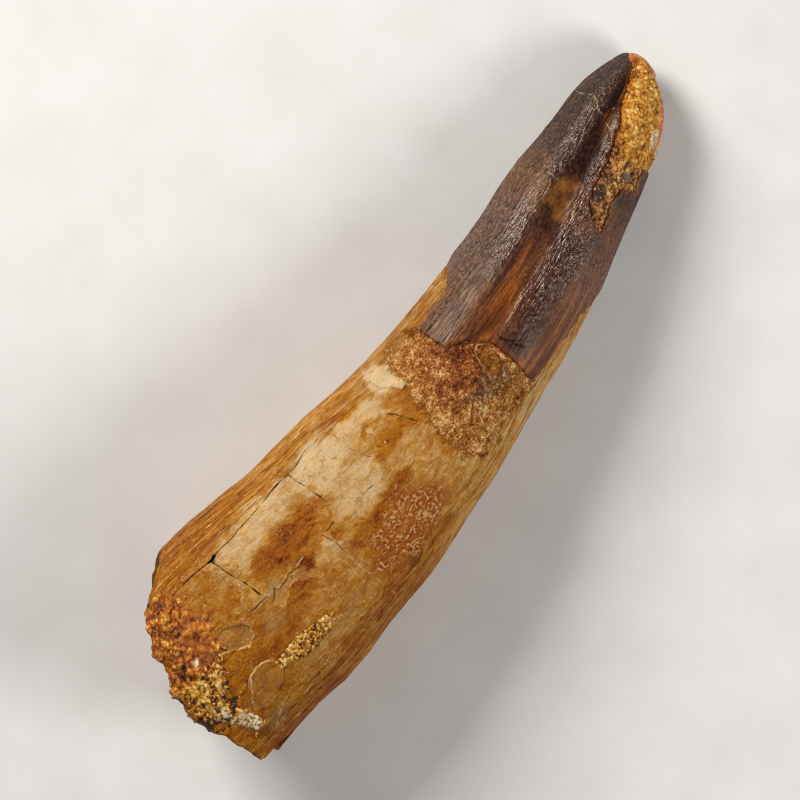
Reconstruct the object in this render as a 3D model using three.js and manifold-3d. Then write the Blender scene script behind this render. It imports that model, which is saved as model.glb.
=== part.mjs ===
// A fossil spinosaur tooth as it was dug up: a fluted enamel crown on a longer, broken root, with sandstone
// still stuck to its tip, to the root's broken end and in a pit of the root. It lies on its side.
// Millimetres. +X runs from the root's end to the tip, +Y is the hollow side of the tooth's curve, +Z is up.
// The origin is on the surface that the tooth lies on, under the middle of its bounding box.
import * as THREE from "three";
import { ImprovedNoise } from "three/addons/math/ImprovedNoise.js";
import { mergeVertices } from "three/addons/utils/BufferGeometryUtils.js";
import Module from "manifold-3d";

const wasm = await Module();
wasm.setup();
const { clamp, degToRad, lerp, smoothstep } = THREE.MathUtils;

// --- Driving dimensions. Angles go round a cross-section: 0 is +Y, 90 the top, 180 is -Y and 270 the bottom.
// Cross-sections of the bare tooth, without enamel: x, centre y, half width, half depth.
const SECTIONS = [
  [-30.0, 1.65, 8.1, 6.3],
  [-23.4, 0.95, 8.3, 6.6],
  [-20.2, 0.5, 8.4, 6.6],
  [-15.9, -0.3, 8.15, 6.45],
  [-11.8, -1.1, 7.65, 6.2],
  [-6.4, -1.7, 7.15, 5.9],
  [-1.5, -2.35, 6.5, 5.5],
  [2.7, -2.5, 6.0, 5.1],
  [7.7, -2.6, 5.45, 4.65],
  [12.3, -2.55, 4.95, 4.2],
  [17.7, -1.95, 4.37, 3.7],
  [21.5, -1.8, 3.8, 3.2],
  [24.4, -1.55, 3.37, 2.8],
  [27.7, -1.15, 2.9, 2.35],
  [30.0, -0.6, 2.5, 1.95],
];
const NOSE_X = 24.4; // the tip's rounding starts here
const TIP_X = 29.75;
// The torn rim of the root: angle, x.
const RIM = [
  [0, -20.2],
  [15, -21.1],
  [30, -22.6],
  [45, -24.8],
  [60, -26.8],
  [75, -28.3],
  [90, -29.2],
  [105, -29.3],
  [120, -29.6],
  [135, -29.5],
  [155, -29.3],
  [163, -27.2],
  [168, -26.9],
  [172, -28.2],
  [186, -28.3],
  [200, -27.2],
  [225, -26.2],
  [250, -27.2],
  [270, -27.8],
  [290, -27.2],
  [315, -25.0],
  [340, -22.0],
  [360, -20.2],
];
const CORE_X = -27.2; // bottom of the pulp cavity's mouth, in the middle of the broken end
const ENAMEL = 0.25; // thickness of the enamel over the dentine
const WORN_FLAT = 0.12; // how much of the underside is worn away at the two places that the tooth lies on
const ROOT_LUMPS = 0.2;
const ARCH = { height: 0.3, span: 40 }; // between those two places the underside is clear of the ground
// Root sections are boxy and crown sections round: the power of the sine that gives their height.
const ROOT_POWER = 0.74;
const CROWN_POWER = 0.95;

// Ridges that run along the tooth: angle, half width in degrees, height, degrees that it turns by at the tip.
const CROWN_RIDGES = [
  [0, 8, 0.2, 0],
  [64, 15, 0.3, 0],
  [117, 16, 0.35, -17],
  [180, 8, 0.2, 0],
  [238, 16, 0.3, 10],
  [300, 16, 0.3, 0],
];
const ROOT_RIDGES = [
  [48, 15, 0.45, 0],
  [142, 20, 0.2, 0],
  [222, 22, 0.25, 0],
  [318, 16, 0.35, 0],
];

// Outlines seen from above, in x and y.
const ENAMEL_OUTLINE = [
  [8.95, 4.2],
  [8.65, 2.8],
  [8.1, 2.2],
  [7.15, 1.75],
  [5.1, 2.05],
  [3.7, 2.05],
  [3.6, -0.35],
  [4.7, -1.25],
  [5.8, -2.15],
  [6.3, -3.1],
  [6.55, -4.4],
  [6.85, -5.0],
  [5.65, -5.75],
  [5.05, -7.25],
  [7.7, -7.45],
  [12.4, -7.7],
  [12.7, -9.5],
  [31.5, -9.5],
  [31.5, 4.2],
];
const TIP_SCAR_OUTLINE = [
  [29.9, 0.0],
  [29.4, -0.65],
  [27.5, -1.1],
  [25.9, -1.7],
  [25.3, -2.3],
  [23.0, -2.7],
  [21.4, -3.2],
  [18.7, -3.95],
  [17.3, -4.7],
  [17.35, -5.3],
  [18.2, -5.0],
  [20.8, -4.8],
  [21.0, -5.65],
  [21.5, -5.35],
  [22.9, -5.2],
  [23.0, -6.1],
  [22.9, -9.0],
  [31.5, -9.0],
  [31.5, 0.0],
];
const END_CRUST_OUTLINE = [
  [-23.4, 10.5],
  [-23.2, 6.75],
  [-22.9, 5.5],
  [-23.2, 4.1],
  [-22.7, 3.4],
  [-24.0, 1.9],
  [-24.3, 0.85],
  [-25.1, 0.1],
  [-26.4, -0.5],
  [-26.8, -1.25],
  [-26.25, -1.85],
  [-27.3, -2.6],
  [-26.85, -4.25],
  [-27.3, -4.85],
  [-28.05, -3.8],
  [-28.6, -2.75],
  [-31.5, -2.75],
  [-31.5, 10.5],
];
const TIP_CRUST = { thickness: 0.2, lumps: 0.4, lumpSize: 1.1, lowest: 1.3, fineness: 1.25 };
const END_CRUST = { thickness: 0.2, lumps: 0.55, lumpSize: 1.5, lowest: 2.4, fineness: 1.15 };
const CRUST_GAP = 0.08; // between a crust and the tooth under it
const MID_HEIGHT = 6;
const HIGH = 20; // above everything

// The sand-filled pit in the root.
const PIT = { x: -20.25, y: -3.9, halfLength: 2.6, halfWidth: 0.75, depth: 0.95, turn: -14 };
const PIT_SAND = { clearance: 0.1, thickness: 0.1, lumps: 0.25, lumpSize: 0.9, fineness: 1.5 };

// Places where a thin flake has come off the root, seen from above.
const FLAKE_DEPTH = 0.18;
const FLAKE_SCARS = [
  [
    [-24.45, 1.0],
    [-23.8, 0.25],
    [-22.9, -0.5],
    [-21.9, -0.35],
    [-21.75, 0.4],
    [-22.2, 1.15],
    [-23.4, 2.0],
    [-24.15, 1.75],
  ],
  [
    [-19.05, -1.05],
    [-18.0, -0.8],
    [-16.9, -0.6],
    [-16.3, -0.05],
    [-17.05, 0.4],
    [-18.3, 0.15],
    [-19.2, -0.2],
  ],
];

// Cracks seen from above: each is a row of points x, y.
const CRACK_RADIUS = 0.15;
const CRACKS = [
  [
    [-23.4, 6.45],
    [-21.75, 6.1],
    [-20.25, 5.8],
    [-19.15, 5.35],
    [-17.05, 5.05],
    [-12.9, 4.5],
    [-8.4, 4.05],
    [-6.3, 3.45],
  ],
  [
    [-19.15, 5.1],
    [-19.3, 4.0],
    [-19.15, 1.0],
  ],
  [
    [-10.7, 3.9],
    [-10.75, 0.6],
    [-11.1, -0.5],
    [-12.5, -0.6],
  ],
  [
    [-13.0, -0.9],
    [-12.9, -1.65],
    [-13.3, -4.25],
  ],
  [
    [6.2, -2.6],
    [6.55, -3.3],
    [6.55, -4.4],
    [6.85, -5.15],
  ],
];

// --- Mesh fineness
const AROUND = 42;
const CAP_ROWS = 7;
const SIDE_ROWS = 32;
const NOSE_ROWS = 7;
const CRACK_SIDES = 5;
const CRACK_STEP = 1.5;

// --- The tooth's form
const noise = new ImprovedNoise();

// The smooth curve through one column of a table, at x.
function curveAt(rows, column, x) {
  const last = rows.length - 1;
  let i = 0;
  while (i < last - 1 && rows[i + 1][0] < x) i++;
  const slope = (j) => {
    const before = rows[Math.max(j - 1, 0)];
    const after = rows[Math.min(j + 1, last)];
    return (after[column] - before[column]) / (after[0] - before[0]);
  };
  const span = rows[i + 1][0] - rows[i][0];
  const t = clamp((x - rows[i][0]) / span, 0, 1);
  const rise = t * t * (3 - 2 * t);
  const lead = t * (1 - t) * (1 - t) * slope(i) - t * t * (1 - t) * slope(i + 1);
  return lerp(rows[i][column], rows[i + 1][column], rise) + lead * span;
}

// Straight lines through the rim's table.
function rimX(angle) {
  const i = RIM.findIndex((row) => row[0] > angle);
  if (i < 1) return RIM[0][1];
  const [[a0, x0], [a1, x1]] = [RIM[i - 1], RIM[i]];
  return lerp(x0, x1, (angle - a0) / (a1 - a0));
}

// Height of a set of ridges over the plain section.
function ridgeHeight(ridges, x, angle) {
  const nearTip = smoothstep(x, 14, 26);
  let height = 0;
  for (const [line, halfWidth, top, turn] of ridges) {
    const apart = Math.abs(((angle - line - turn * nearTip + 540) % 360) - 180);
    height += top * Math.exp(-((apart / halfWidth) ** 2));
  }
  return height;
}

// A point of the tooth's side, `out` millimetres outside the bare tooth.
function sidePoint(x, angle, out = 0, noseX = TIP_X + out) {
  const centreY = curveAt(SECTIONS, 1, x);
  const halfWidth = curveAt(SECTIONS, 2, x);
  const halfDepth = curveAt(SECTIONS, 3, x);
  const arch = ARCH.height * Math.cos((x * Math.PI) / ARCH.span) ** 2;
  const centreZ = halfDepth + ENAMEL * smoothstep(x, 2, 9) + arch - WORN_FLAT;
  const along = clamp((x - NOSE_X) / (noseX - NOSE_X), 0, 1);
  const nose = Math.sqrt(1 - along * along);
  const power = lerp(ROOT_POWER, CROWN_POWER, smoothstep(x, -4, 8));
  const cos = Math.cos(degToRad(angle));
  const sin = Math.sin(degToRad(angle));
  const height = Math.sign(sin) * Math.abs(sin) ** power;
  const root = 1 - smoothstep(x, -6, 3);
  const crown = smoothstep(x, 1, 9);
  const lumps = ROOT_LUMPS * root * noise.noise(x / 5, 1.4 * cos, 1.4 * height);
  const ridges = root * ridgeHeight(ROOT_RIDGES, x, angle) + crown * ridgeHeight(CROWN_RIDGES, x, angle);
  const push = ridges + lumps + out;
  const length = Math.hypot(cos / halfWidth, height / halfDepth);
  return new THREE.Vector3(
    x,
    centreY + nose * (halfWidth * cos + (push * cos) / halfWidth / length),
    centreZ + nose * (halfDepth * height + (push * height) / halfDepth / length),
  );
}

// A point of the broken end: `share` goes from 0 in the middle to 1 at the rim.
function endPoint(share, angle, out) {
  const rim = sidePoint(rimX(angle) - out, angle, out);
  const middle = new THREE.Vector3(CORE_X - out, curveAt(SECTIONS, 1, CORE_X), curveAt(SECTIONS, 3, CORE_X));
  const point = middle.clone().lerp(rim, share);
  point.x = lerp(middle.x, rim.x, smoothstep(share, 0.3, 0.85));
  point.x += 0.5 * (1 - share ** 4) * noise.noise(point.y / 1.7, point.z / 1.7, 3.3);
  return point;
}

// Rounded lumps with creases between them, from 0 to about 1.
function lumpsAt(point, size) {
  const scaled = point.clone().divideScalar(size);
  return Math.min(1, 2.2 * Math.abs(noise.noise(scaled.x, scaled.y, scaled.z)));
}

// The whole tooth as a closed mesh, `out` millimetres outside the bare tooth, with the lumps of a crust if it
// is given one.
function skin(out, { lumps = 0, lumpSize = 1, fineness = 1 } = {}) {
  const counts = [AROUND, NOSE_ROWS, SIDE_ROWS, CAP_ROWS].map((count) => Math.round(count * fineness));
  const [around, noseRows, sideRows, capRows] = counts;
  const rows = noseRows + sideRows + capRows;
  const geometry = new THREE.SphereGeometry(1, around, rows);
  const position = geometry.getAttribute("position");
  const uv = geometry.getAttribute("uv");
  const swell = (place) => out + lumps * lumpsAt(place, lumpSize);
  const tip = TIP_X + swell(sidePoint(TIP_X, 0));
  for (let i = 0; i < position.count; i++) {
    const row = Math.round((1 - uv.getY(i)) * rows);
    const angle = row % rows === 0 ? 0 : (uv.getX(i) * 360) % 360;
    let point;
    if (row <= noseRows) {
      const turn = ((1 - row / noseRows) * Math.PI) / 2;
      const x = lerp(NOSE_X, tip, Math.sin(turn));
      point = sidePoint(x, angle, swell(sidePoint(x, angle)), tip);
    } else if (row <= noseRows + sideRows) {
      const x = lerp(NOSE_X, rimX(angle) - out, (row - noseRows) / sideRows);
      point = sidePoint(x, angle, swell(sidePoint(x, angle)));
    } else {
      point = endPoint((rows - row) / capRows, angle, out);
      point.x -= swell(point) - out;
    }
    position.setXYZ(i, point.x, point.y, point.z);
  }
  return solid(geometry);
}

// --- Solids, joined and cut
function solid(geometry) {
  const bare = geometry.clone();
  bare.deleteAttribute("normal");
  bare.deleteAttribute("uv");
  const merged = mergeVertices(bare, 1e-4);
  return new wasm.Manifold(
    new wasm.Mesh({
      numProp: 3,
      vertProperties: new Float32Array(merged.getAttribute("position").array),
      triVerts: new Uint32Array(merged.index.array),
    }),
  );
}

// An outline with every side moved inwards.
function inset(outline, distance) {
  const points = outline.map(([x, y]) => new THREE.Vector2(x, y));
  const inwards = THREE.ShapeUtils.isClockWise(points) ? -1 : 1;
  const normal = (from, to) => new THREE.Vector2(from.y - to.y, to.x - from.x).setLength(inwards);
  return points.map((point, i) => {
    const before = normal(points.at(i - 1), point);
    const after = normal(point, points[(i + 1) % points.length]);
    const both = before.clone().add(after);
    return point.clone().addScaledVector(both, distance / (1 + before.dot(after)));
  });
}

// An outline seen from above, as a prism from z = lowest to the sky.
function prism(outline, lowest, pulledIn = 0) {
  const shape = new THREE.Shape(inset(outline, pulledIn));
  const geometry = new THREE.ExtrudeGeometry(shape, { depth: HIGH - lowest, bevelEnabled: false });
  return solid(geometry.translate(0, 0, lowest));
}

// The tooth's upper surface at a place seen from above.
function topPoint(x, y, out = 0) {
  const share = (y - curveAt(SECTIONS, 1, x)) / curveAt(SECTIONS, 2, x);
  return sidePoint(x, THREE.MathUtils.radToDeg(Math.acos(clamp(share, -1, 1))), out);
}

function crackGroove(points, out) {
  const path = new THREE.CatmullRomCurve3(points.map(([x, y]) => topPoint(x, y, out)));
  const circle = new THREE.Shape().absarc(0, 0, CRACK_RADIUS, 0, 2 * Math.PI);
  const section = new THREE.Shape(circle.getPoints(CRACK_SIDES).slice(0, -1));
  const steps = Math.ceil(path.getLength() / CRACK_STEP);
  return solid(new THREE.ExtrudeGeometry(section, { extrudePath: path, steps }));
}

// The pit's hollow, or the sand in it when `clearance` is above 0.
function pitEgg(clearance) {
  const egg = new THREE.SphereGeometry(1, 16, 10);
  egg.scale(PIT.halfLength - clearance, PIT.halfWidth - clearance, PIT.depth - clearance);
  egg.rotateZ(degToRad(PIT.turn));
  const middle = topPoint(PIT.x, PIT.y);
  return solid(egg.translate(middle.x, middle.y, middle.z));
}

// The largest of a solid's separate bodies.
function largest(made) {
  return made.decompose().reduce((a, b) => (b.volume() > a.volume() ? b : a));
}

const belowGround = solid(new THREE.BoxGeometry(100, 40, 10).translate(0, 0, -5));

function makeTooth() {
  const scar = prism(TIP_SCAR_OUTLINE, TIP_CRUST.lowest);
  const enamel = skin(ENAMEL).intersect(prism(ENAMEL_OUTLINE, -1)).subtract(scar);
  let tooth = skin(0).add(enamel).subtract(pitEgg(0));
  for (const outline of FLAKE_SCARS) {
    tooth = tooth.subtract(prism(outline, MID_HEIGHT).subtract(skin(-FLAKE_DEPTH)));
  }
  CRACKS.forEach((points, i) => {
    const inEnamel = i === CRACKS.length - 1;
    tooth = tooth.subtract(crackGroove(points, inEnamel ? ENAMEL : 0));
  });
  return tooth.subtract(belowGround);
}

// A crust of sandstone over the part of the tooth inside an outline.
function makeCrust(outline, crust) {
  const cover = skin(crust.thickness, crust);
  const inside = prism(outline, crust.lowest + CRUST_GAP, CRUST_GAP);
  return largest(cover.intersect(inside).subtract(skin(CRUST_GAP)));
}

function makePitSand() {
  return largest(pitEgg(PIT_SAND.clearance).intersect(skin(PIT_SAND.thickness, PIT_SAND)));
}

// --- Scene
const dentine = { color: 0xb97a3e, roughness: 0.6, metalness: 0 };
const sandstone = { color: 0xb08a3c, roughness: 0.95, metalness: 0 };

function meshOf(name, made, look) {
  const { vertProperties, triVerts } = made.getMesh();
  const geometry = new THREE.BufferGeometry();
  geometry.setAttribute("position", new THREE.BufferAttribute(new Float32Array(vertProperties), 3));
  geometry.setIndex(new THREE.BufferAttribute(new Uint32Array(triVerts), 1));
  geometry.computeVertexNormals();
  const mesh = new THREE.Mesh(geometry, new THREE.MeshStandardMaterial(look));
  mesh.name = name;
  return mesh;
}

const specimen = new THREE.Group();
specimen.add(
  meshOf("tooth", makeTooth(), dentine),
  meshOf("tip_sandstone", makeCrust(TIP_SCAR_OUTLINE, TIP_CRUST), sandstone),
  meshOf("root_end_sandstone", makeCrust(END_CRUST_OUTLINE, END_CRUST), sandstone),
  meshOf("pit_sandstone", makePitSand(), sandstone),
);

// Sets the middle of the bounding box over the origin.
const box = new THREE.Box3().setFromObject(specimen);
specimen.position.set(-(box.min.x + box.max.x) / 2, -(box.min.y + box.max.y) / 2, -box.min.z);

export default specimen;
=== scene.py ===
"""The looks of a fossil spinosaur tooth: its fluted dark crown, its cracked and stained root, and the
sandstone that sticks to its tip, to its broken end and in a pit.

Tables and functions are in millimetres and degrees, in the frame of the CAD model: +X runs from the root's
end to the tip, +Y is the hollow side of the tooth's curve and +Z is up. Angles go round a cross-section: 0 is
+Y, 90 the top, 180 is -Y and 270 the bottom. Meshes are scaled to metres when they are made. A pair such as
CROWN_GROWS is the x where something begins and the x where it is complete.
"""

import math

import bmesh
import bpy
import numpy as np
from mathutils import Matrix, Vector


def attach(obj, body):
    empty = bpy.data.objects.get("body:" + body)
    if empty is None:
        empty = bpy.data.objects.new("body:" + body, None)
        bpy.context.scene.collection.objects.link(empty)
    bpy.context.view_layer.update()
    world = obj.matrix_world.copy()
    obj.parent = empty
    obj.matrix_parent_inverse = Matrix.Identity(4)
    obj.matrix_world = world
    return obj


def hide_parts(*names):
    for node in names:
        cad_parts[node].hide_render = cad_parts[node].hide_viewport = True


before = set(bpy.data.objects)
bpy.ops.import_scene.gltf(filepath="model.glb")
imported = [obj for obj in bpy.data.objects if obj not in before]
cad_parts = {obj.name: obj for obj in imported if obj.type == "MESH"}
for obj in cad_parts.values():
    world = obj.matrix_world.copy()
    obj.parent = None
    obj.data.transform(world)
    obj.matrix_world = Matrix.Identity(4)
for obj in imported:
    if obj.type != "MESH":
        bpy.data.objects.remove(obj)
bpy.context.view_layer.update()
MM = 0.001
FAR = 9.0  # stands for a distance beyond any that matters

# ---------------------------------------------------------------- the tooth's form
# Cross-sections of the bare tooth, as in the CAD model: x, centre y, half width, half depth.
SECTIONS = np.array([
    (-30.0, 1.65, 8.1, 6.3),
    (-23.4, 0.95, 8.3, 6.6),
    (-20.2, 0.5, 8.4, 6.6),
    (-15.9, -0.3, 8.15, 6.45),
    (-11.8, -1.1, 7.65, 6.2),
    (-6.4, -1.7, 7.15, 5.9),
    (-1.5, -2.35, 6.5, 5.5),
    (2.7, -2.5, 6.0, 5.1),
    (7.7, -2.6, 5.45, 4.65),
    (12.3, -2.55, 4.95, 4.2),
    (17.7, -1.95, 4.37, 3.7),
    (21.5, -1.8, 3.8, 3.2),
    (24.4, -1.55, 3.37, 2.8),
    (27.7, -1.15, 2.9, 2.35),
    (30.0, -0.6, 2.5, 1.95),
])
NOSE_X = 24.4  # the tip's rounding starts here
TIP_X = 29.75
USUAL_RIM_X = -28.0
# The torn rim of the root, with more steps than in the CAD model: angle, x.
RIM = np.array([
    (0, -20.2), (15, -21.1), (30, -22.6), (45, -24.8), (60, -26.7), (75, -28.0), (83, -28.3), (90, -28.9),
    (98, -29.5), (107, -29.7), (115, -29.7), (120, -29.5), (127, -29.45), (135, -29.5), (153, -29.4),
    (157, -29.2), (160, -27.7), (164, -27.0), (168, -26.9), (171, -28.1), (178, -28.4), (186, -28.2),
    (200, -27.2), (225, -26.2), (250, -27.2), (270, -27.8), (290, -27.2), (315, -25.0), (340, -22.0),
    (360, -20.2),
])
CORE_X = -27.2  # the middle of the broken end
ENAMEL = 0.25  # its thickness
WORN_FLAT = 0.12  # how much of the underside is worn away
ARCH_HEIGHT = 0.3
ARCH_SPAN = 40.0
ROOT_POWER = 0.74
CROWN_POWER = 0.95
ROOT_LUMPS = 0.2
ROOT_GROWS = (3, -6)
CROWN_GROWS = (1, 9)
ENAMEL_GROWS = (2, 9)
SECTION_CHANGES = (-4, 8)
RIDGES_TURN = (14, 26)
# Ridges along the tooth: angle, half width in degrees, height, degrees that it turns by at the tip. The third
# one turns less here than in the CAD model, as the photo shows it.
CROWN_RIDGES = [
    (0, 8, 0.2, 0), (64, 15, 0.3, 0), (117, 16, 0.35, -6), (180, 8, 0.2, 0), (238, 16, 0.3, 10),
    (300, 16, 0.3, 0),
]
ROOT_RIDGES = [(48, 15, 0.45, 0), (142, 20, 0.2, 0), (222, 22, 0.25, 0), (318, 16, 0.35, 0)]
# How far the crown's -Y side stands out past the solid: x, millimetres.
FULLER = np.array([
    (5.5, 0.0), (8.0, 0.1), (14.0, 0.15), (17.0, 0.25), (24.4, 0.32), (26.0, 0.45), (27.5, 0.6), (28.6, 0.65),
    (29.4, 0.25), (29.75, 0.0),
])
FLOW_RADIUS = 6.5  # radius that the flow coordinates are wrapped on
END_STARTS = (0.99, 1.0)  # in s, see `surface`

# ---------------------------------------------------------------- outlines seen from above, in x and y
ENAMEL_OUTLINE = [
    (8.95, 4.2), (8.65, 2.8), (8.1, 2.2), (7.15, 1.75), (5.1, 2.05), (3.7, 2.05), (3.6, -0.35), (4.7, -1.25),
    (5.5, -2.1), (5.75, -3.1), (5.8, -4.4), (5.6, -5.2), (5.5, -6.0), (5.05, -7.25), (7.7, -7.45),
    (12.4, -7.7), (12.7, -9.5), (31.5, -9.5), (31.5, 4.2),
]
TIP_SCAR_OUTLINE = [
    (29.8, 0.0), (29.25, -0.35), (28.35, -0.7), (26.95, -1.2), (25.8, -1.55), (24.8, -2.15), (23.3, -2.55),
    (21.9, -2.9), (20.0, -3.0), (18.5, -3.5), (17.25, -4.6), (17.25, -5.2), (18.3, -5.05), (19.6, -4.7),
    (20.9, -4.75), (21.0, -5.4), (21.3, -5.6), (22.2, -5.35), (23.05, -5.3), (23.2, -6.1), (23.0, -9.0),
    (31.5, -9.0), (31.5, 0.0),
]
END_CRUST_OUTLINE = [
    (-23.4, 10.5), (-23.2, 6.75), (-22.9, 5.5), (-23.2, 4.1), (-22.7, 3.4), (-24.0, 1.9), (-24.3, 0.85),
    (-25.1, 0.1), (-26.4, -0.5), (-26.8, -1.25), (-26.25, -1.85), (-27.3, -2.6), (-26.85, -4.25),
    (-27.3, -4.85), (-28.05, -3.8), (-28.6, -2.75), (-31.5, -2.75), (-31.5, 10.5),
]
TIP_CRUST_LOWEST = 1.3
END_CRUST_LOWEST = 2.4
PIT_LOWEST = 6.0
# Where the ochre upper flank begins: x and y along its edge.
FLANK_EDGE = np.array([
    (-30.0, 7.2), (-23.0, 6.9), (-20.0, 6.5), (-17.4, 6.0), (-13.0, 5.2), (-8.4, 4.4), (-4.0, 3.8),
    (0.0, 3.35), (3.0, 3.1),
])
BAND_OUTLINE = [
    (0.2, 2.6), (0.25, 1.9), (-0.2, 0.1), (-1.2, -1.65), (-2.0, -3.35), (-1.55, -4.85), (-2.6, -6.0),
    (-1.5, -6.8), (1.5, -7.2), (5.05, -7.3), (5.95, -6.5), (7.3, -5.15), (7.0, -3.5), (6.4, -2.15),
    (5.05, -0.9), (3.85, -0.2), (3.85, 2.35), (2.05, 2.5),
]
BAND_PLATE = [
    (3.7, -4.2), (4.2, -3.3), (5.0, -2.2), (5.6, -2.5), (5.6, -3.6), (5.2, -4.3), (4.4, -4.9), (3.6, -5.0),
]
# Plates that a thin flake has come off (depth above 0) or that stand proud (below 0): depth, stain, veil, how
# ragged, outline.
PLATES = [
    (0.13, 0.5, 0.5, 0.55, [
        (-24.6, 1.15), (-24.15, 0.7), (-23.65, 0.1), (-22.9, -0.5), (-22.0, -0.35), (-21.7, 0.15),
        (-21.85, 0.75), (-22.5, 1.5), (-23.4, 1.95), (-24.1, 1.95),
    ]),
    (-0.08, 0.54, 0.3, 0.6, [
        (-24.75, -1.8), (-24.0, -1.8), (-23.4, -2.0), (-22.8, -2.45), (-22.6, -3.2), (-22.8, -3.65),
        (-23.65, -4.1), (-24.9, -4.25), (-26.05, -4.25), (-26.5, -3.65), (-26.1, -2.9),
    ]),
    (0.1, 0.36, 0.35, 1.0, [
        (-19.05, -1.05), (-18.0, -0.8), (-16.9, -0.6), (-16.5, -1.1), (-15.2, -1.55), (-15.6, -0.65),
        (-16.3, -0.05), (-17.25, -0.05), (-18.3, 0.25), (-19.2, -0.2),
    ]),
    (-0.07, 0.3, 0.1, 0.6, [
        (-19.65, 5.1), (-19.8, 4.0), (-19.65, 3.1), (-19.8, 2.2), (-20.55, 1.75), (-20.65, 1.0),
        (-20.25, 0.7), (-18.9, 0.4), (-19.1, 2.5), (-19.2, 5.2),
    ]),
    (-0.09, -0.12, 0.0, 0.2, [
        (-1.6, 3.0), (-0.3, 3.1), (-0.25, 2.2), (-0.15, 1.4), (0.15, 0.5), (-0.7, 0.45), (-1.0, 1.3),
        (-1.5, 1.9),
    ]),
    (-0.14, 0.5, 0.0, 1.0, BAND_PLATE),
]
# Cracks: half width, depth, points. They open and close along their length.
CRACKS = [
    (0.062, 0.2, [(-22.9, 6.3), (-21.75, 6.1), (-20.25, 5.75), (-19.35, 5.5), (-19.0, 5.3), (-18.6, 5.35)]),
    (0.04, 0.14, [(-18.6, 5.35), (-17.05, 5.05), (-15.15, 4.8), (-12.9, 4.55), (-11.05, 4.3)]),
    (0.045, 0.1, [(-11.05, 4.3), (-9.95, 4.05), (-8.45, 4.05), (-7.3, 3.75), (-6.2, 3.4)]),
    (0.09, 0.26, [(-19.4, 5.5), (-19.0, 5.33), (-18.75, 5.4)]),
    (0.05, 0.15, [(-19.15, 5.2), (-19.2, 4.0), (-19.15, 2.5), (-19.15, 1.0)]),
    (0.036, 0.12, [(-10.65, 4.15), (-10.75, 1.75), (-10.75, 0.6), (-10.95, -0.3), (-11.25, -0.65),
                   (-12.55, -0.6)]),
    (0.03, 0.1, [(-13.0, -0.5), (-12.9, -1.65), (-13.15, -2.75)]),
    (0.02, 0.06, [(-6.4, 4.0), (-6.35, 2.5), (-6.5, 1.35), (-6.2, -0.15), (-5.65, -2.0)]),
    (0.035, 0.08, [(-3.05, 1.0), (-2.8, 0.4), (-2.45, -0.35), (-2.05, -1.65), (-1.75, -2.4)]),
    (0.03, 0.08, [(-2.45, -3.5), (-2.2, -4.25), (-1.7, -4.8)]),
    (0.02, 0.05, [(-9.55, -1.05), (-8.05, -1.5), (-6.95, -2.0), (-5.8, -2.15)]),
    (0.055, 0.15, [(6.63, -3.05), (6.53, -3.5), (6.58, -3.9), (6.75, -4.15), (6.75, -4.35), (6.7, -4.6),
                  (6.8, -4.9), (6.88, -5.2)]),
    (0.035, 0.06, [(6.7, -4.1), (7.25, -4.1)]),
]
# Cracks filled with pale mineral, and specks of it: half width, points.
FILLED_CRACKS = [
    (0.028, [(25.2, 1.9), (25.25, 1.48), (25.57, 0.69), (25.43, 0.18), (24.85, -0.1), (24.71, -0.75),
            (24.35, -1.1), (24.13, -1.76)]),
    (0.022, [(22.75, 0.4), (22.6, 0.0), (22.41, -0.46)]),
    (0.09, [(25.5, -1.0), (25.62, -1.12)]),
    (0.045, [(-13.1, -2.3), (-13.2, -3.2), (-13.35, -4.25), (-13.5, -5.9), (-13.65, -7.5)]),
    (0.04, [(-13.9, -3.95), (-12.7, -3.9)]),
    (0.06, [(-19.65, 5.1), (-19.8, 4.0), (-19.65, 3.1), (-19.8, 2.2), (-20.55, 1.75), (-20.65, 1.0)]),
    (0.06, [(-20.55, 0.6), (-19.65, 0.45), (-18.9, 0.4), (-18.0, 0.15), (-17.05, -0.15), (-15.15, -0.2)]),
    (0.05, [(-25.9, -2.4), (-24.9, -1.85), (-23.9, -1.75), (-23.0, -2.2)]),
    (0.06, [(-26.6, -5.4), (-25.2, -5.0), (-24.0, -4.9)]),
]
# Crumbs of the rough band: size, share, height.
BAND_CRUMBS = [(0.55, 0.3, 0.1), (0.26, 0.5, 0.06)]

# ---------------------------------------------------------------- ovals seen from above
# Each starts with x, y, half length, half width and turn.
PIT = (-20.25, -3.85, 2.35, 0.62, -14)
PIT_DEPTH = 0.55
MOTTLED_PATCH = (-9.0, -5.3, 3.9, 2.2, 0)
ORANGE_STREAKS = [(-4.3, -0.8, 1.8, 0.6, 0), (-3.2, 2.9, 2.5, 0.35, -5)]
REDDISH_MIDDLE_OF_BAND = (3.2, -1.9, 2.6, 2.7, 0)
RUSTY_SPOT = (24.4, -1.6, 1.5, 0.5, 12)
CHALK_MARK = (17.9, 2.9, 0.3, 1.1, 0)
BARE_IN_TIP_CRUST = [(25.3, -4.75, 0.8, 0.3, 10), (21.8, -4.6, 0.5, 0.35, 0)]
DARK_IN_TIP_CRUST = (19.6, -3.6, 0.95, 0.4, 5)
WHITISH_STREAK = (-27.75, -3.1, 2.1, 0.68, -60)
WHITE_CHIP = (-26.05, 2.05, 0.36, 0.15, 25)
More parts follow.
